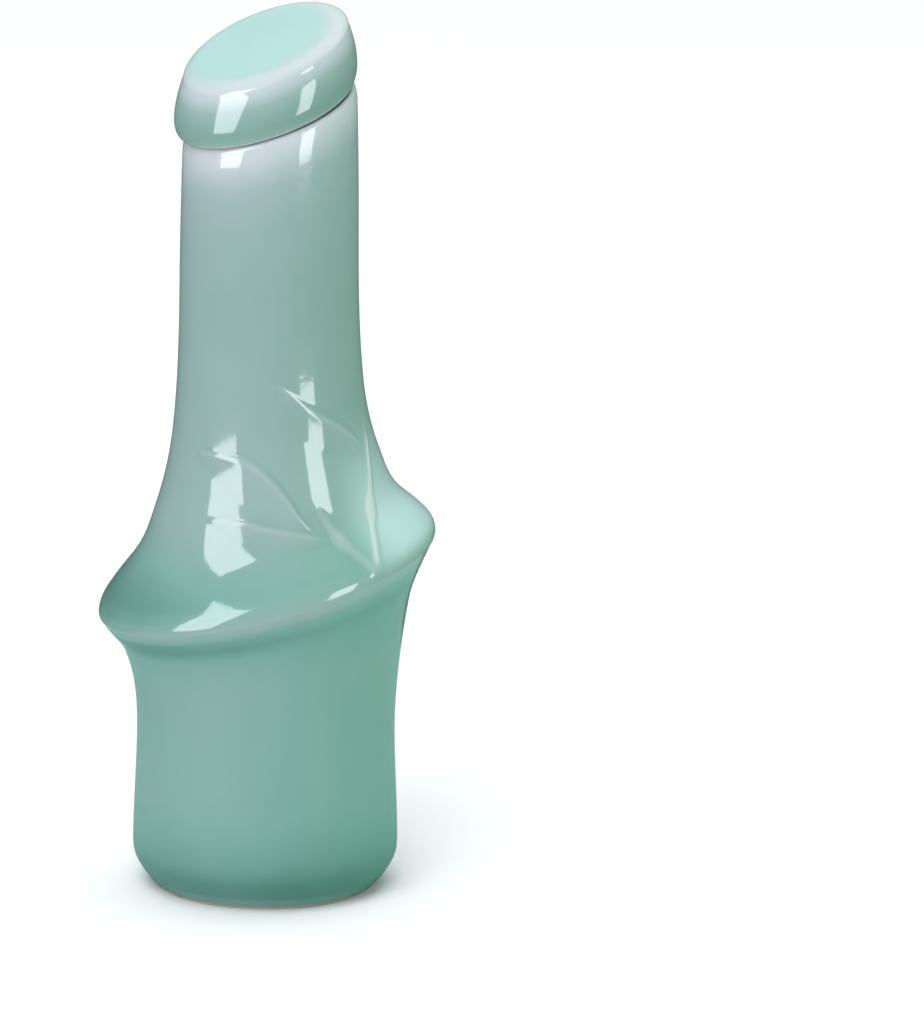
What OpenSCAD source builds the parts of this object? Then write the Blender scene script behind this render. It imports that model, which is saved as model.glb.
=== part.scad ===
// Sake bottle shaped like a joint of bamboo, closed by a slanted stopper that lifts off.
// Every level of the bottle is a round section. The levels lie flat at the foot, lean through the
// waist to the slant of the node ring, and turn from there to the slant of the mouth.
// The origin is the centre of the foot's resting plane, +Z is up, and the front is -Y.

/* [Bottle] */
// Height of the mouth's seat on the bottle's axis
seat_h = 174; // [150:1:215]
// Radius of the foot's resting edge
foot_r = 24.3; // [22:0.1:27]
// Widest radius just above the foot
base_r = 29.4; // [28:0.1:33]
// Height of that widest level
base_h = 9; // [6:0.5:12]
// Radius of the waist under the node ring
waist_r = 28.6; // [26:0.1:33]
// Height of the waist
waist_h = 36; // [30:0.5:42]
// Radius of the node ring at its nose
ring_r = 37.1; // [34:0.1:45]
// Height of the node ring's nose on the axis
ring_h = 71; // [60:0.5:86]
// Height in which the shoulder narrows from the ring to the neck
shoulder_h = 37; // [30:0.5:44]
// Height below the seat from which the neck tapers to the rim
rim_taper_h = 19; // [12:0.5:24]

/* [Walls] */
// Cast wall of the body
body_wall = 4.5; // [3:0.1:6]
// Wall of the neck around the mouth's bore
neck_wall = 4; // [3:0.1:6]
// Wall of the rim around the mouth's bore
rim_wall = 3.1; // [2.6:0.1:4]
// Rounding of the rim's outer edge
rim_round = 1.1; // [0.5:0.1:1.4]
// Thickness of the bottle's floor
floor_t = 4.5; // [3:0.1:7]
// Rounding between the floor and the wall inside
floor_round = 9; // [5:0.5:12]
// Depth of the recess under the foot
foot_recess = 1.6; // [0.8:0.1:2.5]
// Width of the foot's resting edge
foot_w = 3.2; // [2.5:0.1:5]

/* [Slant] */
// Tilt of the node ring in degrees
ring_tilt = 14.7; // [0:0.1:18]
// Direction of the ring's high side, in degrees from +X
ring_turn = 14; // [-20:1:30]
// Height at which the levels begin to lean
lean_h = 38; // [30:1:42]
// Tilt of the mouth's seat in degrees
seat_tilt = 19.7; // [8:0.1:22]
// Direction of the mouth's high side, in degrees from +X
seat_turn = 33; // [0:1:60]

/* [Mouth] */
// Radius of the mouth's bore
bore_r = 15.4; // [13:0.1:18.5]
// Depth of the bore below the seat, on the axis
bore_depth = 25; // [23:0.5:32]
// Step from the bore in to the cast wall of the neck
bore_step = 0.5; // [0.3:0.1:1]

/* [Stopper] */
// Height of the crown on the axis
crown_h = 15; // [13:0.1:20]
// Overhang of the crown beyond the rim
crown_overhang = 1.4; // [0.5:0.1:3]
// Draw-in of the crown's sides from bottom to top
crown_draw = 1.9; // [0.5:0.1:3]
// Power of the curve of the crown's sides, where 1 is straight
crown_side = 1.8; // [1:0.1:2.5]
// Offset of the crown from the axis, along X
crown_shift = -1; // [-1.4:0.1:0]
// Tilt of the crown's top in degrees
crown_tilt = 24; // [12:0.5:25]
// Direction of the crown top's high side, in degrees from +X
crown_turn = 41; // [0:1:60]
// Width and height of the rounding at the crown's lower edge
crown_low_round = [2.5, 4.2]; // [1:0.1:5]
// Width and height of the rounding at the crown's upper edge
crown_top_round = [3.4, 2.2]; // [1:0.1:5]
// Wall of the crown above its hollow
crown_wall = 4; // [3:0.1:6]
// Gap between the crown and the seat
seat_gap = 0.1; // [0.05:0.01:0.3]
// Length of the spigot below the seat, on the axis
spigot_l = 20.5; // [19:0.5:22]
// Gap between the spigot and the bore
spigot_gap = 1.2; // [0.8:0.1:1.5]
// Wall of the spigot
spigot_wall = 3.8; // [3:0.1:4.5]

/* [Seal rings] */
// Height of one seal ring
seal_h = 2.4; // [1.6:0.1:2.8]
// Depth of the groove that a seal ring sits in
groove_depth = 1.1; // [0.8:0.1:1.4]
// Distance between the two rings
seal_pitch = 4.6; // [4:0.1:5]
// Distance from the spigot's end to the lower ring's middle
seal_from_end = 3.2; // [2.6:0.1:4]
// Gap between a seal ring and the bore
seal_gap = 0.05; // [0.02:0.01:0.1]
// Gap above and below a seal ring in its groove
groove_gap = 0.1; // [0.05:0.01:0.2]

/* [Hidden] */

glaze = "#9dc9bf";
glaze_pale = "#bfe3da";
silicone = "#e6e9e6";

columns = 64;
cavity_columns = 40;
round_facets = 96;
lip_facets = 32;
rim_step = 22.5;
round_step = 18;
wall_step = 6;
shoulder_step = 3;
neck_steps = 5;
side_steps = 5;
cavity_overlap = 8;
spigot_bite = 1.2;
cut = 0.5;
slope_step = 0.01;

neck_r = bore_r + neck_wall;
rim_r = bore_r + rim_wall;
neck_h = ring_h + shoulder_h;
taper_h = seat_h - rim_taper_h;
bore_bottom = seat_h - bore_depth;
spigot_bottom = seat_h - spigot_l;
spigot_r = bore_r - spigot_gap;
groove_r = spigot_r - groove_depth;
hollow_r = spigot_r - spigot_wall;
seal_r = bore_r - seal_gap;
crown_r = rim_r + crown_overhang;
seal_low_h = spigot_bottom + seal_from_end;
seal_heights = [seal_low_h, seal_low_h + seal_pitch];

ring_slope = slope(ring_tilt, ring_turn);
seat_slope = slope(seat_tilt, seat_turn);
crown_slope = slope(crown_tilt, crown_turn);

flare = ring_r - waist_r;
flare_rise = flare / (ring_h - waist_h);
fall = ring_r - neck_r;
fall_rate = fall / shoulder_h;

// The outer profile: height, radius and rate of change of each station, then the
// number of steps up to the next one
stations = [
    [0, foot_r, 0.9, 4],
    [base_h, base_r, 0, 3],
    [waist_h, waist_r, 0, 4],
    [waist_h + 0.68 * (ring_h - waist_h), waist_r + 0.345 * flare, flare_rise, 4],
    [waist_h + 0.95 * (ring_h - waist_h), waist_r + 0.895 * flare, 2.05 * flare_rise, 3],
    [ring_h, ring_r, 0, 4],
    [ring_h + 0.09 * shoulder_h, neck_r + 0.925 * fall, -1.65 * fall_rate, 3],
    [ring_h + 0.19 * shoulder_h, neck_r + 0.745 * fall, -2 * fall_rate, 3],
    [ring_h + 0.3 * shoulder_h, neck_r + 0.54 * fall, -1.5 * fall_rate, 4],
    [ring_h + 0.56 * shoulder_h, neck_r + 0.3 * fall, -0.73 * fall_rate, 4],
    [neck_h, neck_r + 0.09 * fall, -0.23 * fall_rate, 3],
    [taper_h, neck_r, -0.02, 2],
    [seat_h - 0.32 * rim_taper_h, rim_r + 0.61 * (neck_r - rim_r), -0.03, 2],
    [seat_h, rim_r, -0.15, 0]
];

function slope(tilt, turn) = tan(tilt) * [cos(turn), sin(turn)];
function smooth(t) = let (u = min(1, max(0, t))) u * u * (3 - 2 * u);

// Radius of the outside at height h: a cubic runs from each station to the next
function span_at(h) = max([for (i = [0 : len(stations) - 2]) if (i == 0 || stations[i][0] <= h) i]);
function outer_r(h) =
    let (i = span_at(h), a = stations[i], b = stations[i + 1], d = b[0] - a[0], t = (h - a[0]) / d)
    a[1] * (2 * pow(t, 3) - 3 * pow(t, 2) + 1) + a[2] * d * (pow(t, 3) - 2 * pow(t, 2) + t)
    + b[1] * (3 * pow(t, 2) - 2 * pow(t, 3)) + b[2] * d * (pow(t, 3) - pow(t, 2));
function outer_rate(h) = (outer_r(h) - outer_r(h - slope_step)) / slope_step;

// Slope of the level at height h, as its rise along X and along Y
function lean(h) =
    ring_slope * smooth((h - lean_h) / (ring_h - lean_h))
    + (seat_slope - ring_slope) * smooth((h - ring_h) / (seat_h - ring_h));

// Wall at height h, measured across, which keeps the wall's thickness where the outside flares
function wall_at(h) =
    let (t = smooth((h - ring_h) / shoulder_h))
    (body_wall + (neck_wall + bore_step - body_wall) * t) * sqrt(1 + pow(outer_rate(h), 2));

// One level: n points around a circle of radius r, at height h, on the level's slope
function level(n, r, h, rise, x = 0) = [
    for (i = [0 : n - 1])
        let (a = 360 * i / n, px = x + r * cos(a), py = r * sin(a))
        [px, py, h + rise[0] * px + rise[1] * py]
];

// Closed skin over a stack of levels of n points, with a flat face at each end
module skin(levels, n) {
    top = (len(levels) - 1) * n;
    sides = [
        for (k = [0 : len(levels) - 2], i = [0 : n - 1])
            let (j = (i + 1) % n, a = k * n + i, b = k * n + j)
            each [[a, b + n, b], [a, a + n, b + n]]
    ];
    ends = [[for (i = [0 : n - 1]) i], [for (i = [n - 1 : -1 : 0]) top + i]];
    polyhedron(points = [for (l = levels) each l], faces = concat(ends, sides));
}

module bottle_outside() {
    heights = [
        for (i = [0 : len(stations) - 2])
            let (low = stations[i][0], high = min(stations[i + 1][0], seat_h - rim_round))
            for (s = [0 : stations[i][3] - 1]) low + (high - low) * s / stations[i][3]
    ];
    wall = [for (h = heights) level(columns, outer_r(h), h, lean(h))];
    rim = [
        for (a = [0 : rim_step : 90])
            let (h = seat_h - rim_round * (1 - sin(a)), r = outer_r(h) - rim_round * (1 - cos(a)))
            level(columns, r, h, lean(h))
    ];
    skin(concat(wall, rim), columns);
}

module cavity() {
    low = foot_recess + floor_t;
    wall_low = low + floor_round;
    wall_high = bore_bottom + cavity_overlap;
    rounding = [
        for (a = [0 : round_step : 90 - round_step])
            level(cavity_columns, outer_r(wall_low) - wall_at(wall_low) - floor_round * (1 - sin(a)),
                wall_low - floor_round * cos(a), [0, 0])
    ];
    lower = [for (h = [wall_low : wall_step : ring_h - 2 * wall_step]) h];
    middle = [for (h = [ring_h - 3 * shoulder_step : shoulder_step : neck_h - shoulder_step]) h];
    upper = [for (i = [0 : neck_steps]) neck_h + (wall_high - neck_h) * i / neck_steps];
    wall = [
        for (h = concat(lower, middle, upper))
            level(cavity_columns, outer_r(h) - wall_at(h), h, lean(h))
    ];
    skin(concat(rounding, wall), cavity_columns);
}

module bottle_body() {
    color(glaze)
    difference() {
        bottle_outside();
        cavity();
        translate([0, 0, bore_bottom])
        cylinder(h = bore_depth + rim_r, r = bore_r, $fn = round_facets);
        translate([0, 0, -cut])
        cylinder(h = foot_recess + cut, r = foot_r - foot_w, $fn = round_facets);
    }
}

// The crown: its underside lies along the seat and its top on a steeper slant
module crown() {
    low = crown_low_round;
    high = crown_top_round;
    side_h = crown_h - high[1] - low[1];
    outline = concat(
        [for (a = [0 : round_step : 90]) [crown_r - low[0] * (1 - sin(a)), low[1] * (1 - cos(a))]],
        [for (i = [1 : side_steps])
            let (t = i / side_steps) [crown_r - crown_draw * pow(t, crown_side), low[1] + side_h * t]],
        [for (a = [round_step : round_step : 90])
            [crown_r - crown_draw - high[0] * (1 - cos(a)), crown_h - high[1] * (1 - sin(a))]]
    );
    levels = [
        for (p = outline)
            let (rise = seat_slope + (crown_slope - seat_slope) * p[1] / crown_h)
            level(columns, p[0], seat_h + seat_gap + p[1], rise, crown_shift)
    ];
    skin(levels, columns);
}

// The hollow: open at the spigot's end, and closed by a ceiling parallel to the crown's top
module stopper_hollow() {
    ceiling = seat_h + crown_h - crown_wall / cos(crown_tilt);
    block = 4 * crown_r;
    intersection() {
        translate([0, 0, spigot_bottom - cut])
        cylinder(h = spigot_l + crown_h + cut, r = hollow_r, $fn = round_facets);
        translate([0, 0, ceiling])
        rotate([0, 0, crown_turn])
        rotate([0, -crown_tilt, 0])
        translate([-block / 2, -block / 2, -block])
        cube(block);
    }
}

module groove(h) {
    groove_h = seal_h + 2 * groove_gap;
    translate([0, 0, h - groove_h / 2])
    rotate_extrude($fn = round_facets)
    translate([groove_r, 0])
    square([groove_depth + cut, groove_h]);
}

module stopper() {
    spigot_top = seat_h + tan(seat_tilt) * spigot_r + spigot_bite;
    color(glaze_pale)
    difference() {
        union() {
            crown();
            translate([0, 0, spigot_bottom])
            cylinder(h = spigot_top - spigot_bottom, r = spigot_r, $fn = round_facets);
        }
        stopper_hollow();
        for (h = seal_heights) groove(h);
    }
}

// One silicone ring: a flat band with a round outer lip that meets the bore
module seal_ring(h) {
    lip_r = seal_h / 2;
    color(silicone)
    translate([0, 0, h])
    rotate_extrude($fn = round_facets)
    union() {
        translate([groove_r, -seal_h / 2]) square([seal_r - groove_r - lip_r, seal_h]);
        intersection() {
            translate([seal_r - lip_r, 0]) circle(r = lip_r, $fn = lip_facets);
            translate([groove_r, -seal_h]) square([seal_r, 2 * seal_h]);
        }
    }
}

module seal_ring_upper() seal_ring(seal_heights[1]);
module seal_ring_lower() seal_ring(seal_heights[0]);

bottle_body();
stopper();
seal_ring_upper();
seal_ring_lower();
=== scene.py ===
# Celadon sake bottle with a slanted stopper: the looks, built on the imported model
import math

import bpy
import numpy as np
from mathutils import Matrix, Vector


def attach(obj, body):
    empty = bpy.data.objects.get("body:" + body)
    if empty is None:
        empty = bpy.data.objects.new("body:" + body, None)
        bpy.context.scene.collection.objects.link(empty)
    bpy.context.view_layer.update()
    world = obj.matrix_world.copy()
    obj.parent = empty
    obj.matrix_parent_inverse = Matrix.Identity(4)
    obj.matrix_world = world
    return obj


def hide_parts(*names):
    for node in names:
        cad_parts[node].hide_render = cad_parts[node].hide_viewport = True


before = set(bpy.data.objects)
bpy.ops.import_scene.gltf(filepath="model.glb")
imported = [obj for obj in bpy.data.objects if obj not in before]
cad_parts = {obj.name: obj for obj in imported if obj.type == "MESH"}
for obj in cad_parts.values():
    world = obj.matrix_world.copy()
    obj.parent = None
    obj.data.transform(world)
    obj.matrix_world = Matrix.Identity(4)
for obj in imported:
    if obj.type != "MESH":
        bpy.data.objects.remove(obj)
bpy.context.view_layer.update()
scene = bpy.context.scene
mm = 0.001


class Wire:
    # an output socket: sums written on it become Math nodes
    def __init__(self, kit, socket):
        self.kit = kit
        self.socket = socket

    def __add__(self, other):
        return self.kit.math("ADD", self, other)

    def __sub__(self, other):
        return self.kit.math("SUBTRACT", self, other)

    def __rsub__(self, other):
        return self.kit.math("SUBTRACT", other, self)

    def __mul__(self, other):
        return self.kit.math("MULTIPLY", self, other)

    def __truediv__(self, other):
        return self.kit.math("DIVIDE", self, other)

    __radd__ = __add__
    __rmul__ = __mul__


class Kit:
    # adds nodes to one tree: settings come first, then socket values and links
    def __init__(self, tree):
        self.tree = tree

    def add(self, kind, settings=None, inputs=None, output=0):
        node = self.tree.nodes.new(kind)
        for name, value in (settings or {}).items():
            if name == "stops":
                self.setStops(node.color_ramp, value)
            else:
                setattr(node, name, value)
        for name, value in (inputs or {}).items():
            if isinstance(value, Wire):
                self.tree.links.new(value.socket, node.inputs[name])
            else:
                node.inputs[name].default_value = value
        return Wire(self, node.outputs[output]) if node.outputs else node

    def setStops(self, ramp, stops):
        while len(ramp.elements) < len(stops):
            ramp.elements.new(1.0)
        for element, (place, colour) in zip(ramp.elements, stops):
            element.position = place
            element.color = (*colour, 1.0)

    def math(self, operation, *values):
        return self.add("ShaderNodeMath", {"operation": operation}, dict(enumerate(values)))

    def axis(self, vector, number):
        # 0 is the X of a vector, 1 its Y and 2 its Z
        return self.add("ShaderNodeSeparateXYZ", {}, {0: vector}, output=number)

    def mixColour(self, factor, first, second, blend="MIX"):
        # sockets 6 and 7 are the two colours of a Mix node, and output 2 is its colour
        return self.add("ShaderNodeMix", {"data_type": "RGBA", "blend_type": blend},
                        {0: factor, 6: first, 7: second}, output=2)

    def smooth(self, value, low, high):
        return self.add("ShaderNodeMapRange", {"interpolation_type": "SMOOTHSTEP"},
                        {"Value": value, "From Min": low, "From Max": high})

    def noise(self, place, scale, detail=2.0, rough=0.5):
        return self.add("ShaderNodeTexNoise", {}, {"Vector": place, "Scale": scale, "Detail": detail,
                                                   "Roughness": rough})

    def attribute(self, name):
        return self.add("ShaderNodeAttribute", {"attribute_name": name}, output=2)

    def surface(self, inputs):
        shader = self.add("ShaderNodeBsdfPrincipled", {}, inputs)
        self.add("ShaderNodeOutputMaterial", {}, {"Surface": shader})


def linear(code):
    # a colour as a painter writes it, #rrggbb, to linear light
    values = [int(code[i:i + 2], 16) / 255 for i in (1, 3, 5)]
    return tuple(v / 12.92 if v < 0.04045 else ((v + 0.055) / 1.055) ** 2.4 for v in values)


def paint(code):
    return (*linear(code), 1)


def tilt(angle, turn):
    # rise along X and along Y of a level that tilts by angle towards turn, in degrees
    steep = math.tan(math.radians(angle))
    return np.array([steep * math.cos(math.radians(turn)), steep * math.sin(math.radians(turn))])


def ease(value):
    value = np.clip(value, 0, 1)
    return value * value * (3 - 2 * value)


def readOff(table, places):
    # what a table of (place, value) gives at each place
    known, values = zip(*table)
    return np.interp(places, known, values)


def hermite(stations, heights):
    # a cubic through stations of (height, radius, rate of change)
    table = np.array(stations, float)
    heights = np.asarray(heights, float)
    span = np.clip(np.searchsorted(table[:, 0], heights, side="right") - 1, 0, len(table) - 2)
    low, high = table[span], table[span + 1]
    size = high[:, 0] - low[:, 0]
    t = (heights - low[:, 0]) / size
    return (low[:, 1] * (2 * t**3 - 3 * t**2 + 1) + low[:, 2] * size * (t**3 - 2 * t**2 + t)
            + high[:, 1] * (3 * t**2 - 2 * t**3) + high[:, 2] * size * (t**3 - t**2))


def arc(middle, size, start, end, steps):
    # points of an elliptic arc round middle, angles in degrees
    angles = np.radians(np.linspace(start, end, steps))
    return [(middle[0] + size[0] * math.cos(a), middle[1] + size[1] * math.sin(a)) for a in angles]


def refine(points, step):
    # the same outline with points no further apart than step
    points = np.array(points, float)
    fine = [points[:1]]
    for a, b in zip(points[:-1], points[1:]):
        count = max(1, int(math.ceil(np.linalg.norm(b[:2] - a[:2]) / step)))
        fine.append(a + (b - a) * (np.arange(1, count + 1) / count)[:, None])
    return np.concatenate(fine)


def levels(points, rise, glaze, bare, milk=0.0, shift=0.0):
    # rows of radius, height, rise along X, rise along Y, offset along X, glaze depth, bareness, painted light
    points = np.array(points, float)
    count = len(points)
    return np.column_stack([points, np.broadcast_to(rise, (count, 2))]
                           + [np.broadcast_to(value, count) for value in (shift, glaze, bare, milk)])


# sizes in millimetres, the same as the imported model's; a tilt is its steepness and its direction in degrees
bottle = {
    "seatHeight": 174, "footRadius": 24.3, "footWidth": 3.2, "footRecess": 1.6, "footFlare": 0.9,
    "recessRound": 0.8, "soleEdge": 0.4, "baseRadius": 29.4, "baseHeight": 9,
    "waistRadius": 28.6, "waistHeight": 36, "ringRadius": 37.1, "ringHeight": 71,
    "shoulderHeight": 37, "taperHeight": 19, "neckRadius": 19.4, "rimRadius": 18.5, "rimRound": 1.1,
    "wall": 4.5, "floor": 4.5, "floorRound": 9, "boreRadius": 15.4, "boreDepth": 25, "boreStep": 0.5,
    "lipRound": 0.5, "leanStart": 38, "ringTilt": (14.7, 14), "seatTilt": (19.7, 33), "columns": 294,
}
ringSlope = tilt(*bottle["ringTilt"])
seatSlope = tilt(*bottle["seatTilt"])

# the outside's stations: share of the part's height, share of its change of radius, and steepness,
# against the mean slope for the flare and the shoulder, and as it is for the taper under the rim
flareStations = [(0.68, 0.345, 1), (0.95, 0.895, 2.05)]
shoulderStations = [(0.09, 0.925, -1.65), (0.19, 0.745, -2), (0.3, 0.54, -1.5), (0.56, 0.3, -0.73),
                    (1, 0.09, -0.23)]
taperStations = [(1, 1, -0.02), (0.19, 0.61, -0.03), (0, 0, -0.15)]

# how far apart the rows lie, by height: close where the ring and the sprig are
rowSpacing = [(0, 0.5), (4, 0.8), (8, 1.7), (60, 1.5), (66, 0.42), (118, 0.42), (124, 2), (170, 2),
              (173, 0.5)]
flatSpacing = 1.5
soleSpacing = 0.8

# how deep the glaze lies, from 0 thin to 1 pooled, by height on the outside in millimetres; the deeper glaze
# from 60 to 65 mm, under the ring, is painted shade
glazeRun = [
    (0, 0.3), (1.2, 0.6), (3, 0.93), (6, 0.98), (12, 0.84), (22, 0.72), (40, 0.7), (54, 0.7),
    (60, 0.75), (64.5, 0.86), (67.2, 0.72), (69, 0.44), (70.4, 0.34), (71.4, 0.4), (73, 0.6),
    (75.5, 0.68), (80, 0.62), (86, 0.52), (94, 0.48), (110, 0.49), (141, 0.49), (155, 0.43),
    (161, 0.34), (167, 0.18), (171, 0.06), (174, 0.0),
]
# the glaze elsewhere on the bottle, how high the foot is bare, and where a paler mint is painted on the
# ring's shoulder, standing in for the light that falls on it
bottleGlaze = {
    "recess": 0.35, "recessEdge": 0.3, "sole": 0.1, "bore": 0.2, "boreStep": 0.3, "wall": 0.45,
    "bowl": 0.6, "floor": 0.7, "bareHeight": 1.3,
    "paintedLightFrom": 70.5, "paintedLightRise": 5, "paintedLightUntil": 106, "paintedLightFall": 26,
}


def bottleStations():
    # height, radius and rate of change, from the foot to the seat
    b = bottle
    flareHeight = b["ringHeight"] - b["waistHeight"]
    flare = b["ringRadius"] - b["waistRadius"]
    fall = b["ringRadius"] - b["neckRadius"]
    taper = b["neckRadius"] - b["rimRadius"]
    stations = [(0, b["footRadius"], b["footFlare"]), (b["baseHeight"], b["baseRadius"], 0),
                (b["waistHeight"], b["waistRadius"], 0)]
    for up, out, steep in flareStations:
        stations.append((b["waistHeight"] + up * flareHeight, b["waistRadius"] + out * flare,
                         steep * (flare / flareHeight)))
    stations.append((b["ringHeight"], b["ringRadius"], 0))
    for up, out, steep in shoulderStations:
        stations.append((b["ringHeight"] + up * b["shoulderHeight"], b["neckRadius"] + out * fall,
                         steep * (fall / b["shoulderHeight"])))
    for down, out, steep in taperStations:
        stations.append((b["seatHeight"] - down * b["taperHeight"], b["rimRadius"] + out * taper, steep))
    return stations


def lean(height):
    # how much the level at this height rises along X and along Y
    b = bottle
    toRing = ease((height - b["leanStart"]) / (b["ringHeight"] - b["leanStart"]))
    toSeat = ease((height - b["ringHeight"]) / (b["seatHeight"] - b["ringHeight"]))
    return np.outer(toRing, ringSlope) + np.outer(toSeat, seatSlope - ringSlope)


def bottleProfile():
    b, g = bottle, bottleGlaze
    stations = bottleStations()
    flat = (0, 0)

    # the foot: recess, its rounded corner, and the bare sole
    recess = b["footRadius"] - b["footWidth"]
    corner = b["recessRound"]
    under = refine([(0, b["footRecess"]), (recess - corner, b["footRecess"])], flatSpacing)
    step = arc((recess - corner, b["footRecess"] - corner), (corner, corner), 72, 0, 5)
    sole = refine([(recess + 0.1, 0.3), (recess + b["soleEdge"], 0), (b["footRadius"] - b["soleEdge"], 0),
                   (b["footRadius"] - 0.1, 0.08)], soleSpacing)
    rows = [levels(under, flat, g["recess"], 0),
            levels(step, flat, g["recessEdge"], [0, 0, 0.3, 0.8, 1]),
            levels(sole, flat, g["sole"], 1)]

    # the outside, with its rows spaced along the outline
    heights = np.linspace(0.25, b["seatHeight"] - b["rimRound"], 2400)
    radii = hermite(stations, heights)
    lengths = np.concatenate([[0], np.cumsum(np.hypot(np.diff(heights), np.diff(radii)))])
    counts = np.concatenate([[0], np.cumsum(np.diff(lengths) / readOff(rowSpacing, heights)[1:])])
    heights = np.interp(np.linspace(0, counts[-1], int(counts[-1])), counts, heights)
    # painted light: the ring's shoulder is painted a paler mint, standing in for the light falling on it
    milk = ease((heights - g["paintedLightFrom"]) / g["paintedLightRise"]) * ease((g["paintedLightUntil"] - heights) / g["paintedLightFall"])
    rows.append(levels(np.column_stack([hermite(stations, heights), heights]), lean(heights),
                       readOff(glazeRun, heights), np.clip(g["bareHeight"] - heights, 0, 1), milk))

    # the rim and the bore
    seat, edge, lip = b["seatHeight"], b["rimRound"], b["lipRound"]
    shoulder = hermite(stations, [seat - edge])[0]
    top = arc((shoulder - edge, seat - edge), (edge, edge), 10, 90, 8)
    top += arc((b["boreRadius"] + lip, seat - lip), (lip, lip), 90, 180, 6)
    rows.append(levels(top, seatSlope, 0.0, [0] * 6 + [0.2, 0.6] + [1] * 6))
    boreBottom = seat - b["boreDepth"]
    down = np.linspace(0, 1, 16)[1:]
    bore = np.column_stack([np.full(15, b["boreRadius"]), seat - lip - (b["boreDepth"] - lip) * down])
    rows.append(levels(bore, seatSlope * (1 - down)[:, None], g["bore"], 1))
    rows.append(levels([(b["boreRadius"] - b["boreStep"], boreBottom - 0.2)], flat, g["boreStep"], 0.3))

    # the cast inside follows the outside at the wall's thickness
    floorTop = b["footRecess"] + b["floor"]
    inside = np.linspace(boreBottom - 4, floorTop + b["floorRound"], 44)
    rate = (hermite(stations, inside + 0.01) - hermite(stations, inside)) / 0.01
    wall = np.column_stack([hermite(stations, inside) - b["wall"] * np.sqrt(1 + rate**2), inside])
    floorRadius = hermite(stations, [floorTop + b["floorRound"]])[0] - b["wall"]
    bowl = arc((floorRadius - b["floorRound"], floorTop + b["floorRound"]),
               (b["floorRound"], b["floorRound"]), -10, -90, 8)
    ground = refine([bowl[-1], (0, floorTop)], flatSpacing)[1:]
    rows += [levels(wall, lean(inside), g["wall"], 0), levels(bowl, flat, g["bowl"], 0),
             levels(ground, flat, g["floor"], 0)]
    return np.concatenate(rows)


# sizes in millimetres
stopper = {
    "crownHeight": 15, "overhang": 1.4, "draw": 1.9, "sidePower": 1.8, "shift": -1, "seatGap": 0.1,
    "crownTilt": (24, 41), "lowRound": (2.5, 4.2), "topRound": (3.4, 2.2), "dome": 0.5, "wall": 4,
    "spigotLength": 20.5, "spigotRadius": 14.2, "spigotWall": 3.8, "hollowRound": 0.8, "endRound": 0.6,
    "rootRound": 1.2, "shankGap": 3, "grooveDepth": 1.1, "grooveGap": 0.1, "grooveEdge": 0.15,
    "seals": 2, "sealHeight": 2.4, "sealPitch": 4.6, "sealFromEnd": 3.2, "columns": 224,
}
crownSlope = tilt(*stopper["crownTilt"])

# the glaze of the crown: by step round its foot, by share of its side's height, and on its top, with the
# painted light on its upper edge
stopperGlaze = {
    "foot": [(0, 0), (2, 0.04), (5, 0.3), (9, 0.85), (15, 1)],
    "footBare": [(0, 1), (1, 0.8), (2, 0.2), (3, 0)],
    "side": [(0, 1), (0.3, 0.86), (0.6, 0.5), (0.85, 0.2), (1, 0.08)],
    "edge": 0.05, "top": 0.1, "edgePaintedLight": 0.16, "under": 0.1, "spigot": 0.2,
}


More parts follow.
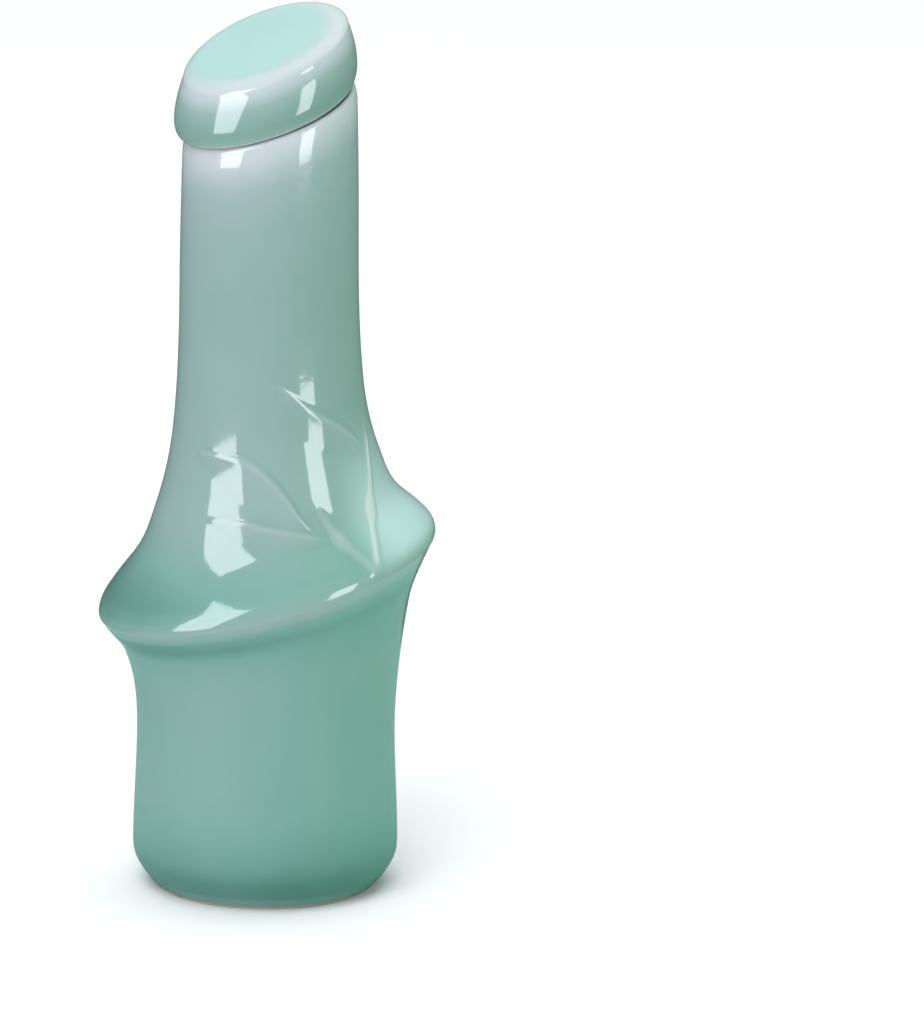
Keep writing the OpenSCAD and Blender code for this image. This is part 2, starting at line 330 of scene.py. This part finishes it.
def stopperProfile():
    s, g = stopper, stopperGlaze
    seat = bottle["seatHeight"] + s["seatGap"]
    crown = bottle["rimRadius"] + s["overhang"]
    top = crown - s["draw"]
    flat = (0, 0)
    rows = []

    def bisque(points, rise):
        rows.append(levels(points, rise, g["spigot"], 1))

    def crownRise(points):
        share = (np.array(points)[:, 1] - seat) / s["crownHeight"]
        return seatSlope + np.outer(share, crownSlope - seatSlope)

    # the hollow, from its ceiling down to the spigot's open end
    ceiling = seat + s["crownHeight"] - s["wall"] / math.cos(math.radians(s["crownTilt"][0]))
    hollow = s["spigotRadius"] - s["spigotWall"]
    bottom = bottle["seatHeight"] - s["spigotLength"]
    corner, end = s["hollowRound"], s["endRound"]
    bisque(refine([(0, ceiling), (hollow - corner, ceiling)], flatSpacing), crownSlope)
    bisque([(hollow - 0.2, ceiling - 0.2), (hollow, ceiling - corner)], crownSlope)
    fall = np.linspace(0, 1, 12)[1:]
    depth = ceiling - corner - end - bottom
    sides = np.column_stack([np.full(11, hollow), ceiling - corner - depth * fall])
    bisque(sides, crownSlope * (1 - fall)[:, None])
    lip = arc((hollow + end, bottom + end), (end, end), 190, 270, 5)
    lip += arc((s["spigotRadius"] - end, bottom + end), (end, end), 270, 360, 6)
    bisque(lip, flat)

    # the spigot with its grooves, its shank, and the rounded root under the crown
    grooveHeight = s["sealHeight"] + 2 * s["grooveGap"]
    grooveRadius = s["spigotRadius"] - s["grooveDepth"]
    edge = s["grooveEdge"]
    for i in range(s["seals"]):
        low = bottom + s["sealFromEnd"] + i * s["sealPitch"] - grooveHeight / 2
        high = low + grooveHeight
        bisque([(s["spigotRadius"], low - edge), (s["spigotRadius"] - edge, low),
                (grooveRadius, low), (grooveRadius, high),
                (s["spigotRadius"] - edge, high), (s["spigotRadius"], high + edge)], flat)
    seatDrop = s["spigotRadius"] * math.tan(math.radians(bottle["seatTilt"][0]))
    seatLow = bottle["seatHeight"] - seatDrop - s["shankGap"]
    climb = np.linspace(0, 1, 8)
    bisque(np.column_stack([np.full(8, s["spigotRadius"]), high + 1 + (seatLow - high - 1) * climb]), flat)
    root = s["rootRound"]
    turn = arc((s["spigotRadius"] + root, seat - root), (root, root), 180, 90, 6)
    bisque(turn, seatSlope * np.array([0.85, 0.95, 1, 1, 1, 1])[:, None])
    under = refine([turn[-1], (crown - s["lowRound"][0], seat)], soleSpacing)[1:]
    slide = np.linspace(0, 1, len(under) + 1)[1:]
    rows.append(levels(under, seatSlope, g["under"], 1, shift=s["shift"] * slide))

    # the crown: rounded foot, drawn-in side, soft upper edge and a faintly domed top
    step = np.arange(16)
    foot = arc((crown - s["lowRound"][0], seat + s["lowRound"][1]), s["lowRound"], -84, 0, 16)
    rows.append(levels(foot, crownRise(foot), readOff(g["foot"], step), readOff(g["footBare"], step),
                       shift=s["shift"]))
    sideLow, sideHigh = seat + s["lowRound"][1], seat + s["crownHeight"] - s["topRound"][1]
    climb = np.linspace(0, 1, 18)[1:]
    side = np.column_stack([crown - s["draw"] * climb ** s["sidePower"],
                            sideLow + (sideHigh - sideLow) * climb])
    rows.append(levels(side, crownRise(side), readOff(g["side"], climb), 0, shift=s["shift"]))
    reach = top - s["topRound"][0]
    upper = arc((reach, sideHigh), s["topRound"], 13, 90, 16)
    # painted light: the crown's upper edge and its top turn a paler mint towards the middle, standing in for
    # the light from above
    rows.append(levels(upper, crownRise(upper), g["edge"], 0, np.linspace(0, g["edgePaintedLight"], 16), s["shift"]))
    inward = np.linspace(0, 1, 18)[1:]
    cap = np.column_stack([reach * (1 - inward), seat + s["crownHeight"] + s["dome"] * ease(inward)])
    milk = g["edgePaintedLight"] + (1 - g["edgePaintedLight"]) * inward
    rows.append(levels(cap, crownSlope, g["top"], 0, milk, s["shift"]))
    return np.concatenate(rows)


def leanLathe():
    # the tree: turns the outline's rows round Z, and leans and shifts each turned level
    tree = bpy.data.node_groups.new("leanLathe", "GeometryNodeTree")
    for name, kind in [("Geometry", "NodeSocketGeometry"), ("Columns", "NodeSocketInt"),
                       ("Material", "NodeSocketMaterial"), ("Crowding", "NodeSocketFloat"),
                       ("Crowded Side", "NodeSocketFloat")]:
        tree.interface.new_socket(name, in_out="INPUT", socket_type=kind)
    tree.interface.new_socket("Geometry", in_out="OUTPUT", socket_type="NodeSocketGeometry")
    kit = Kit(tree)
    source = tree.nodes.new("NodeGroupInput")
    outline, columns, finish, crowding, side = (Wire(kit, source.outputs[i]) for i in range(5))
    count = kit.add("GeometryNodeAttributeDomainSize", {"component": "MESH"}, {"Geometry": outline})
    sheet = kit.add("GeometryNodeMeshGrid", {}, {"Size X": 1.0, "Size Y": 1.0,
                                                "Vertices X": columns + 1, "Vertices Y": count})
    index = kit.add("GeometryNodeInputIndex")
    row = kit.math("MODULO", index, count)
    column = kit.math("FLOOR", (index + 0.5) / count)

    def fromRow(value, kind):
        return kit.add("GeometryNodeSampleIndex", {"data_type": kind, "domain": "POINT"},
                       {"Geometry": outline, "Value": value, "Index": row})

    def stored(name, kind):
        return kit.add("GeometryNodeInputNamedAttribute", {"data_type": kind}, {"Name": name})

    place = fromRow(kit.add("GeometryNodeInputPosition"), "FLOAT_VECTOR")
    rise = fromRow(stored("rise", "FLOAT_VECTOR"), "FLOAT_VECTOR")
    radius, height = kit.axis(place, 0), kit.axis(place, 2)
    even = column / columns * math.tau
    angle = even - crowding * kit.math("SINE", even - side)
    x = radius * kit.math("COSINE", angle) + kit.axis(rise, 2)
    y = radius * kit.math("SINE", angle)
    z = height + kit.axis(rise, 0) * x + kit.axis(rise, 1) * y
    turned = kit.add("GeometryNodeSetPosition", {}, {
        "Geometry": sheet, "Position": kit.add("ShaderNodeCombineXYZ", {}, {0: x, 1: y, 2: z})})
    for name in ("glaze", "bare", "level", "milk"):
        value = fromRow(stored(name, "FLOAT"), "FLOAT")
        turned = kit.add("GeometryNodeStoreNamedAttribute", {"data_type": "FLOAT", "domain": "POINT"},
                         {"Geometry": turned, "Name": name, "Value": value})
    closed = kit.add("GeometryNodeMergeByDistance", {}, {"Geometry": turned, "Distance": 0.004 * mm})
    smooth = kit.add("GeometryNodeSetShadeSmooth", {}, {"Geometry": closed})
    single = kit.add("GeometryNodeRealizeInstances", {}, {"Geometry": smooth})
    painted = kit.add("GeometryNodeSetMaterial", {}, {"Geometry": single, "Material": finish})
    end = tree.nodes.new("NodeGroupOutput")
    tree.links.new(painted.socket, end.inputs[0])
    return tree


def turnOnSlant(name, rows, columns, finish, tree, crowding=0.0, side=0.0):
    # makes the outline a line mesh, turns it with the tree, and keeps the plain mesh
    line = bpy.data.meshes.new(name + "Outline")
    places = np.column_stack([rows[:, 0], 0 * rows[:, 0], rows[:, 1]]) * mm
    line.from_pydata(places.tolist(), [(i, i + 1) for i in range(len(rows) - 1)], [])
    rise = line.attributes.new("rise", "FLOAT_VECTOR", "POINT")
    rise.data.foreach_set("vector", np.column_stack([rows[:, 2:4], rows[:, 4] * mm]).ravel())
    for attribute, place in [("glaze", 5), ("bare", 6), ("milk", 7), ("level", 1)]:
        stored = line.attributes.new(attribute, "FLOAT", "POINT")
        stored.data.foreach_set("value", rows[:, place].astype(np.float32))
    piece = bpy.data.objects.new(name, line)
    scene.collection.objects.link(piece)
    modifier = piece.modifiers.new("lathe", "NODES")
    modifier.node_group = tree
    sockets = {s.name: s.identifier for s in tree.interface.items_tree if s.in_out == "INPUT"}
    modifier[sockets["Columns"]] = columns
    modifier[sockets["Material"]] = finish
    modifier[sockets["Crowding"]] = crowding
    modifier[sockets["Crowded Side"]] = math.radians(side)
    bpy.context.view_layer.update()
    evaluated = piece.evaluated_get(bpy.context.evaluated_depsgraph_get())
    solid = bpy.data.meshes.new_from_object(evaluated)
    piece.modifiers.remove(modifier)
    piece.data = solid
    solid.name = name
    print(name, "turned:", len(solid.vertices), "points,", len(solid.polygons), "faces")
    return piece


def readPoints(mesh, what="co"):
    values = np.empty(len(mesh.vertices) * 3)
    if what == "co":
        mesh.vertices.foreach_get("co", values)
    else:
        mesh.vertex_normals.foreach_get("vector", values)
    return values.reshape(-1, 3)


def readValues(mesh, attribute):
    values = np.empty(len(mesh.vertices), np.float32)
    mesh.attributes[attribute].data.foreach_get("value", values)
    return values


def writeValues(mesh, attribute, values):
    mesh.attributes[attribute].data.foreach_set("value", values.astype(np.float32))


def bending(mesh, passes):
    # how hollow (+) or proud (-) the surface is at each point, per millimetre, softened
    points, normals = readPoints(mesh), readPoints(mesh, "normal")
    edges = np.empty(len(mesh.edges) * 2, int)
    mesh.edges.foreach_get("vertices", edges)
    a, b = edges.reshape(-1, 2).T
    size = len(points)
    near = np.bincount(a, minlength=size) + np.bincount(b, minlength=size)
    step = points[b] - points[a]
    square = (step**2).sum(1) + 1e-12
    hollow = (np.bincount(a, (step * normals[a]).sum(1) / square, size)
              - np.bincount(b, (step * normals[b]).sum(1) / square, size)) / near * 2 * mm
    for _ in range(passes):
        hollow = (np.bincount(a, hollow[b], size) + np.bincount(b, hollow[a], size) + 2 * hollow) / (near + 2)
    return hollow


# the moulded sprig: lines of (angle in degrees, height in millimetres), other sizes in millimetres;
# a leaf is crisp on its up side, and thin is how much the glaze thins over the part
sprig = [
    {"kind": "stem", "line": [(-49, 71.5), (-50.6, 74.3), (-53.6, 77.4), (-58, 81.6), (-62.2, 86.4),
                              (-66.5, 91.5)],
     "width": 1.8, "end": 1.2, "joint": 0.58, "swell": 0.9, "proud": 0.32, "thin": 0.3},
    {"kind": "stem", "line": [(-49, 71.5), (-47.2, 75.5), (-41.4, 80.4), (-36, 84.3), (-28.2, 90.4),
                              (-22.8, 95.6), (-18.8, 99.4), (-15, 106)],
     "width": 1.9, "end": 1.1, "joint": 0.43, "swell": 1.1, "proud": 0.36, "thin": 0.64},
    {"kind": "leaf", "line": [(-62, 81.6), (-75.2, 84.9), (-91, 87.6), (-102.4, 90), (-121, 92.3)],
     "up": 1.3, "down": 3.2, "proud": 0.5, "thin": 0.12},
    {"kind": "leaf", "line": [(-66, 83.4), (-75, 88.4), (-83, 94.2), (-94, 99.8), (-106, 103.4),
                              (-120, 105.4), (-134, 106.4)],
     "up": 1.2, "down": 6.0, "proud": 0.72, "thin": 0.1},
    {"kind": "leaf", "line": [(-24, 95.8), (-34, 99.6), (-44, 103.4), (-57, 107.6), (-69, 112.4),
                              (-84, 118.8)],
     "up": 1.1, "down": 4.8, "proud": 0.52, "thin": 0.1},
]
# how parts run out and round off: lengths are shares of the line, and the others are powers and shares
sprigShape = {
    "jointLength": 0.075, "stemStart": 0.15, "stemEnd": 0.3, "stemRound": 1.5, "jointRise": 0.8,
    "leafBelly": 0.7, "leafLeast": 0.12, "browRound": 1.3, "leafStart": 0.2, "leafEnd": 0.5, "tipRise": 0.45,
}
# the part of the bottle that the sprig can reach, and what it does to the glaze
sprigZone = {"low": 66, "high": 124, "first": -140, "last": 10, "skin": 1}
sprigGlaze = {"passes": 2, "gather": 0.35, "deepest": 1.25, "paintedLightLoss": 1.5}


def throughPoints(line, steps=48):
    # a smooth line through its points
    points = np.array(line, float)
    padded = np.vstack([2 * points[0] - points[1], points, 2 * points[-1] - points[-2]])
    result = []
    for t in np.linspace(0, len(points) - 1, steps):
        i = min(int(t), len(points) - 2)
        u = t - i
        a, b, c, d = padded[i:i + 4]
        result.append(0.5 * (2 * b + (c - a) * u + (2 * a - 5 * b + 4 * c - d) * u**2
                             + (3 * b - a - 3 * c + d) * u**3))
    return np.array(result)


def alongLine(line, angles, heights, radii):
    # how far each point is from the line, how far along it, and whether it is on the up side
    along = np.linspace(0, 1, len(line))
    nearest = np.full(len(angles), 1e9)
    place = np.zeros(len(angles))
    above = np.zeros(len(angles), bool)
    for i in range(len(line) - 1):
        across = np.radians(angles - line[i, 0]) * radii
        up = heights - line[i, 1]
        stepAcross = np.radians(line[i + 1, 0] - line[i, 0]) * radii
        stepUp = line[i + 1, 1] - line[i, 1]
        t = np.clip((across * stepAcross + up * stepUp) / (stepAcross**2 + stepUp**2 + 1e-9), 0, 1)
        distance = np.hypot(across - t * stepAcross, up - t * stepUp)
        closer = distance < nearest
        nearest[closer] = distance[closer]
        place[closer] = (along[i] + t * (along[i + 1] - along[i]))[closer]
        above[closer] = (stepAcross * up - stepUp * across < 0)[closer]
    return nearest, place, above


def stemShape(stem, nearest, place):
    s = sprigShape
    width = stem["width"] + (stem["end"] - stem["width"]) * place
    width = width + stem["swell"] * np.exp(-((place - stem["joint"]) / s["jointLength"]) ** 2)
    fade = ease(place / s["stemStart"]) * ease((1 - place) / s["stemEnd"])
    section = np.clip(1 - (nearest / width) ** 2, 0, 1) ** s["stemRound"]
    return section * (width / stem["width"]) ** s["jointRise"] * fade


def leafShape(leaf, nearest, place, above):
    s = sprigShape
    full = np.sin(np.pi * np.clip(place, 0, 1)) ** s["leafBelly"] + s["leafLeast"]
    brow = np.clip(1 - (nearest / (leaf["up"] * full)) ** 2, 0, 1) ** s["browRound"]
    blade = np.clip(1 - nearest / (leaf["down"] * full), 0, 1)
    tip = s["tipRise"] + (1 - s["tipRise"]) * ease((1 - place) / s["leafEnd"])
    return np.where(above, brow, blade) * ease(place / s["leafStart"]) * tip


def sprigHeight(angles, heights, radii):
    # how many millimetres the sprig stands proud at each point, and how much it thins the glaze
    proud = np.zeros(len(angles))
    thin = np.zeros(len(angles))
    for part in sprig:
        nearest, place, above = alongLine(throughPoints(part["line"]), angles, heights, radii)
        if part["kind"] == "stem":
            shape = stemShape(part, nearest, place)
        else:
            shape = leafShape(part, nearest, place, above)
        proud = np.maximum(proud, part["proud"] * shape)
        thin = np.maximum(thin, part["thin"] * shape)
    return proud, thin


# where the shoulder is painted a paler mint by angle, standing in for the light falling on its right side,
# and where the glaze pools, by angle and height
shoulderPool = {
    "paintedLightStart": -58, "paintedLightRise": 26, "paintedLightEnd": 80, "paintedLightFall": 50,
    "middle": 175, "low": 60, "rise": 8, "high": 92, "fall": 16, "depth": 0.32, "least": 0.3,
}
# the painted light on the crown's top starts further in from its edge on the right
paintedLightOnTop = {"start": 0.05, "shift": 0.12, "towards": -30, "width": 0.22}


def poolShoulder(mesh):
    # the ring's right shoulder keeps its painted light, a paler mint standing in for the light that falls
    # there, and the glaze pools on its left
    p = shoulderPool
    points = readPoints(mesh)
    angles = np.degrees(np.arctan2(points[:, 1], points[:, 0]))
    side = ease((angles - p["paintedLightStart"]) / p["paintedLightRise"]) * ease((p["paintedLightEnd"] - angles) / p["paintedLightFall"])
    writeValues(mesh, "milk", readValues(mesh, "milk") * side)
    level, glaze = readValues(mesh, "level"), readValues(mesh, "glaze")
    left = 0.5 + 0.5 * np.cos(np.radians(angles - p["middle"]))
    ring = ease((level - p["low"]) / p["rise"]) * ease((p["high"] - level) / p["fall"])
    writeValues(mesh, "glaze", glaze + p["depth"] * ring * left**2 * (glaze > p["least"]))


def paintLightOnTop(mesh):
    # the rows give the way in from the crown's edge, which becomes the painted light on its top
    t = paintedLightOnTop
    points = readPoints(mesh)
    angles = np.arctan2(points[:, 1], points[:, 0])
    start = t["start"] + t["shift"] * np.cos(angles - math.radians(t["towards"]))
    writeValues(mesh, "milk", ease((readValues(mesh, "milk") - start) / t["width"]))


def raiseSprig(mesh):
    # lifts the sprig from the shell; the glaze gathers in its hollows and runs thin over it
    z, g = sprigZone, sprigGlaze
    points, normals = readPoints(mesh), readPoints(mesh, "normal")
    level, glaze, milk = (readValues(mesh, name) for name in ("level", "glaze", "milk"))
    angles = np.degrees(np.arctan2(points[:, 1], points[:, 0]))
    radii = np.hypot(points[:, 0], points[:, 1]) / mm
    outside = radii > hermite(bottleStations(), np.clip(level, 0, bottle["seatHeight"])) - z["skin"]
    zone = outside & (level > z["low"]) & (level < z["high"]) & (angles > z["first"]) & (angles < z["last"])
    proud, thin = np.zeros(len(points)), np.zeros(len(points))
    proud[zone], thin[zone] = sprigHeight(angles[zone], level[zone].astype(float), radii[zone])
    before = bending(mesh, g["passes"])
    mesh.vertices.foreach_set("co", (points + normals * (proud * mm)[:, None]).ravel())
    mesh.update()
    change = bending(mesh, g["passes"]) - before
    writeValues(mesh, "glaze", np.clip(glaze + change * g["gather"] - thin, 0, g["deepest"]))
    # the painted light fades where the glaze runs thin over the sprig
    writeValues(mesh, "milk", milk * np.clip(1 - g["paintedLightLoss"] * thin, 0, 1))
    print("sprig raised by up to", round(float(proud.max()), 2), "mm")


def startFinish(name):
    # an empty material, its kit, and the object's own coordinates
    finish = bpy.data.materials.new(name)
    finish.use_nodes = True
    finish.node_tree.nodes.clear()
    kit = Kit(finish.node_tree)
    return finish, kit, kit.add("ShaderNodeTexCoord", output=3)


# colours of the glaze from thin on the edges to pooled, and of the bare porcelain;
# noise is (scale, detail, roughness), and other numbers are depths or shares
celadonBody = {
    "thin": "#c9cdd3", "light": "#9caeb0", "middle": "#8da7a3", "deep": "#739f97", "pool": "#538478",
    # the pale mint colour below is painted light, for where light falls on the ring's shoulder and the
    # crown's top
    "places": (0.0, 0.25, 0.5, 0.78, 1.0), "milk": "#accfc8",
    # painted light: the glaze is tinted greener towards the right, standing in for light through the
    # porcelain on that side
    "paintedGreenLight": (0.84, 1.07, 0.89, 1), "paintedGreenLightFrom": -12 * mm, "paintedGreenLightTo": 34 * mm,
    "drift": (26, 3), "driftDepth": 0.22, "flow": (140, 4, 0.6), "flowDepth": 0.05, "flowRough": 0.03,
    "bare": "#d8d0c2", "grainy": "#efebe3", "grain": (1600, 3), "fray": (420, 3), "frayDepth": 0.5,
    # the dark colour below is painted shade, for the shadow in the gap under the stopper's edge
    "paintedShadeLine": "#6f675f", "paintedShadeLineShare": 0.85, "roughness": 0.06, "bareRoughness": 0.62,
    "peel": (210, 2), "bump": 0.35, "bumpDepth": 0.12 * mm, "grainBump": 0.8, "ior": 1.75,
    "scatter": 0.2, "scatterColour": (0.8, 1.0, 0.9), "scatterDepth": 3 * mm,
}
# the stopper's glaze has its own colours and a weaker painted green light on the right
celadonStopper = dict(celadonBody, thin="#c3c8cd", light="#a9b9bc", middle="#90a8a4", deep="#85a69e",
                      pool="#7f9f96", milk="#a3c6c1", paintedGreenLight=(0.93, 1.04, 0.93, 1))
silicone = {
    "dark": "#d5dad8", "pale": "#eef1ef", "cloud": (300, 3), "fine": (2500, 2), "roughness": 0.38,
    "cloudRough": 0.12, "bump": 0.25, "bumpDepth": 0.03 * mm, "ior": 1.42, "scatter": 0.35,
    "scatterDepth": 1.5 * mm,
}


def celadonGlaze(name, c):
    finish, kit, place = startFinish(name)
    glaze, bare, milk = (kit.attribute(value) for value in ("glaze", "bare", "milk"))

    drift = kit.noise(place, *c["drift"])   # slow change of the glaze's depth, some centimetres across
    flow = kit.noise(place, *c["flow"])     # faint runs and curtains
    depth = glaze + (drift - 0.5) * c["driftDepth"] + (flow - 0.5) * c["flowDepth"]
    tones = [linear(c[tone]) for tone in ("thin", "light", "middle", "deep", "pool")]
    colour = kit.add("ShaderNodeValToRGB", {"stops": list(zip(c["places"], tones))}, {"Fac": depth})
    # painted light: the colour turns greener towards the right, standing in for light through the porcelain
    # on that side
    paintedGreenLight = kit.smooth(kit.axis(place, 0), c["paintedGreenLightFrom"], c["paintedGreenLightTo"])
    colour = kit.mixColour(paintedGreenLight, colour, c["paintedGreenLight"], "MULTIPLY")
    # painted light: a paler mint where light falls, on the ring's shoulder and the crown's top
    colour = kit.mixColour(milk, colour, paint(c["milk"]))

    edge = kit.smooth(bare + (kit.noise(place, *c["fray"]) - 0.5) * c["frayDepth"], 0.35, 0.6)
    grain = kit.noise(place, *c["grain"])
    biscuit = kit.mixColour(grain, paint(c["bare"]), paint(c["grainy"]))
    # painted shade: a dark line runs where the glaze ends, standing in for the shadow in the gap under the
    # stopper's edge; the same line also runs where the glaze ends at the foot
    paintedShadeLine = kit.smooth(bare, 0.2, 0.55) * (1 - kit.smooth(bare, 0.55, 0.9))
    biscuit = kit.mixColour(paintedShadeLine * c["paintedShadeLineShare"], biscuit, paint(c["paintedShadeLine"]))

    rough = c["roughness"] + flow * c["flowRough"] + edge * (c["bareRoughness"] - c["roughness"])
    peel = kit.noise(place, *c["peel"])     # the soft unevenness of fired glaze
    bump = kit.add("ShaderNodeBump", {}, {"Strength": c["bump"], "Distance": c["bumpDepth"],
                                           "Height": peel + edge * grain * c["grainBump"]})
    kit.surface({"Base Color": kit.mixColour(edge, colour, biscuit), "Roughness": rough, "Normal": bump,
                 "IOR": c["ior"], "Subsurface Weight": c["scatter"],
                 "Subsurface Radius": c["scatterColour"], "Subsurface Scale": c["scatterDepth"]})
    return finish


def sealSilicone(name, c):
    finish, kit, place = startFinish(name)
    cloud = kit.noise(place, *c["cloud"])
    bump = kit.add("ShaderNodeBump", {}, {"Strength": c["bump"], "Distance": c["bumpDepth"],
                                           "Height": kit.noise(place, *c["fine"])})
    kit.surface({"Base Color": kit.mixColour(cloud, paint(c["dark"]), paint(c["pale"])),
                 "Roughness": c["roughness"] + cloud * c["cloudRough"], "Normal": bump, "IOR": c["ior"],
                 "Subsurface Weight": c["scatter"], "Subsurface Radius": (1.0, 1.0, 1.0),
                 "Subsurface Scale": c["scatterDepth"]})
    return finish


def matte(name, scale, first, second):
    finish, kit, place = startFinish(name)
    kit.surface({"Base Color": kit.mixColour(kit.noise(place, scale), first, second), "Roughness": 0.7})
    return finish


# the studio: distances in metres, angles in degrees, 0 is the camera's side and + is to its right;
# glossy lights are seen only in the glaze, and diffuse ones only light it
camera = {"distance": 1.65, "elevation": 16.13, "lens": 259.8, "sensor": 36, "reach": 20, "roll": 0.747,
          "aim": (0.0429, 0, 0.0843)}
lights = [
    {"name": "windowLeft", "turn": -55, "height": 24, "distance": 1.25, "size": (0.7, 1.2), "power": 11.8,
     "colour": "#f6f9ff", "shines": "glossy"},
    {"name": "windowRight", "turn": 46, "height": 10.4, "distance": 1.25, "size": (0.42, 0.68), "power": 4.3,
     "colour": "#f8fbff", "shines": "glossy"},
    {"name": "key", "turn": -22, "height": 45, "distance": 2.0, "size": (1.5, 1.5), "power": 32,
     "colour": "#fbfcff", "shines": "diffuse"},
    {"name": "fill", "turn": 112, "height": 12, "distance": 1.6, "size": (0.8, 0.8), "power": 5,
     "colour": "#fbfffd", "shines": "diffuse"},
    {"name": "ceiling", "turn": 180, "height": 76, "distance": 3.0, "size": (4.0, 4.0), "power": 105,
     "colour": "#ffffff", "shines": "diffuse"},
]
floorSheet = {"half": 8.0, "cloud": 3.0, "first": (0.86, 0.87, 0.87, 1), "second": (0.9, 0.9, 0.9, 1)}
greenCard = {"radius": 0.2, "height": 0.0002, "steps": 48, "cloud": 9.0,
             "first": (0.19, 0.33, 0.3, 1), "second": (0.22, 0.36, 0.33, 1)}
room = {"below": (0.10, 0.15, 0.14, 1), "above": (0.26, 0.28, 0.29, 1), "from": -0.12, "to": 0.5}


def turnTowards(way):
    return way.to_track_quat("-Z", "Y").to_matrix().to_4x4()


def placeCamera():
    up = math.radians(camera["elevation"])
    where = Vector((0, -camera["distance"] * math.cos(up), camera["distance"] * math.sin(up)))
    data = bpy.data.cameras.new("camera")
    data.lens = camera["lens"]
    data.sensor_width = camera["sensor"]
    data.clip_end = camera["reach"]
    eye = bpy.data.objects.new("camera", data)
    turn = turnTowards((Vector(camera["aim"]) - where).normalized())
    roll = Matrix.Rotation(math.radians(camera["roll"]), 4, "Z")
    eye.matrix_world = Matrix.Translation(where) @ turn @ roll
    scene.collection.objects.link(eye)
    scene.camera = eye


def placeLights():
    middle = Vector((0, 0, 0.1))
    for light in lights:
        turn, height = math.radians(light["turn"]), math.radians(light["height"])
        way = Vector((math.sin(turn) * math.cos(height), -math.cos(turn) * math.cos(height),
                      math.sin(height)))
        data = bpy.data.lights.new(light["name"], "AREA")
        data.shape = "RECTANGLE"
        data.size, data.size_y = light["size"]
        data.energy = light["power"]
        data.color = linear(light["colour"])
        lamp = bpy.data.objects.new(light["name"], data)
        lamp.matrix_world = Matrix.Translation(middle + way * light["distance"]) @ turnTowards(-way)
        lamp.visible_glossy = light["shines"] == "glossy"
        lamp.visible_diffuse = light["shines"] == "diffuse"
        scene.collection.objects.link(lamp)


def layFlat(name, corners, finish):
    # one flat face of the studio
    mesh = bpy.data.meshes.new(name)
    mesh.from_pydata(corners, [], [tuple(range(len(corners)))])
    mesh.materials.append(finish)
    sheet = bpy.data.objects.new(name, mesh)
    scene.collection.objects.link(sheet)
    return sheet


def placeFloor():
    f = floorSheet
    corners = [(x * f["half"], y * f["half"], 0) for x, y in [(-1, -1), (1, -1), (1, 1), (-1, 1)]]
    floor = layFlat("floor", corners, matte("paleFloor", f["cloud"], f["first"], f["second"]))
    floor.visible_glossy = False            # so that the glaze mirrors the dark room and not a white floor


def placeCard():
    # a round green card under the bottle, seen only in the glaze near the foot
    c = greenCard
    turns = [i * math.tau / c["steps"] for i in range(c["steps"])]
    corners = [(c["radius"] * math.cos(turn), c["radius"] * math.sin(turn), c["height"]) for turn in turns]
    card = layFlat("card", corners, matte("greenCard", c["cloud"], c["first"], c["second"]))
    card.visible_camera = False
    card.visible_diffuse = False
    card.visible_shadow = False


def fillStudio():
    # a dim room by direction for the glaze to mirror, and plain white behind for the camera
    world = bpy.data.worlds.new("studio")
    scene.world = world
    world.use_nodes = True
    world.node_tree.nodes.clear()
    kit = Kit(world.node_tree)
    direction = kit.add("ShaderNodeTexCoord", output=0)
    up = kit.smooth(kit.axis(direction, 2), room["from"], room["to"])
    dim = kit.mixColour(up, room["below"], room["above"])
    seen = kit.add("ShaderNodeLightPath", output=0)
    glow = kit.add("ShaderNodeBackground", {}, {"Color": kit.mixColour(seen, dim, (1, 1, 1, 1))})
    kit.add("ShaderNodeOutputWorld", {}, {"Surface": glow})
    scene.view_settings.view_transform = "Standard"


placeCamera()
placeLights()
placeFloor()
placeCard()
fillStudio()
print("studio ready")

lathe = leanLathe()
body = turnOnSlant("bottleShell", bottleProfile(), bottle["columns"],
                   celadonGlaze("celadonBody", celadonBody), lathe, crowding=0.6, side=-65)
poolShoulder(body.data)
raiseSprig(body.data)
crown = turnOnSlant("stopperCrown", stopperProfile(), stopper["columns"],
                    celadonGlaze("celadonStopper", celadonStopper), lathe)
paintLightOnTop(crown.data)

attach(body, "bottle")
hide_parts("bottle_body")
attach(crown, "stopper")
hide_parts("stopper")

sealFinish = sealSilicone("sealSilicone", silicone)
for name in ("seal_ring_upper", "seal_ring_lower"):
    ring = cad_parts[name]
    ring.data.materials.clear()
    ring.data.materials.append(sealFinish)
print("pieces ready")
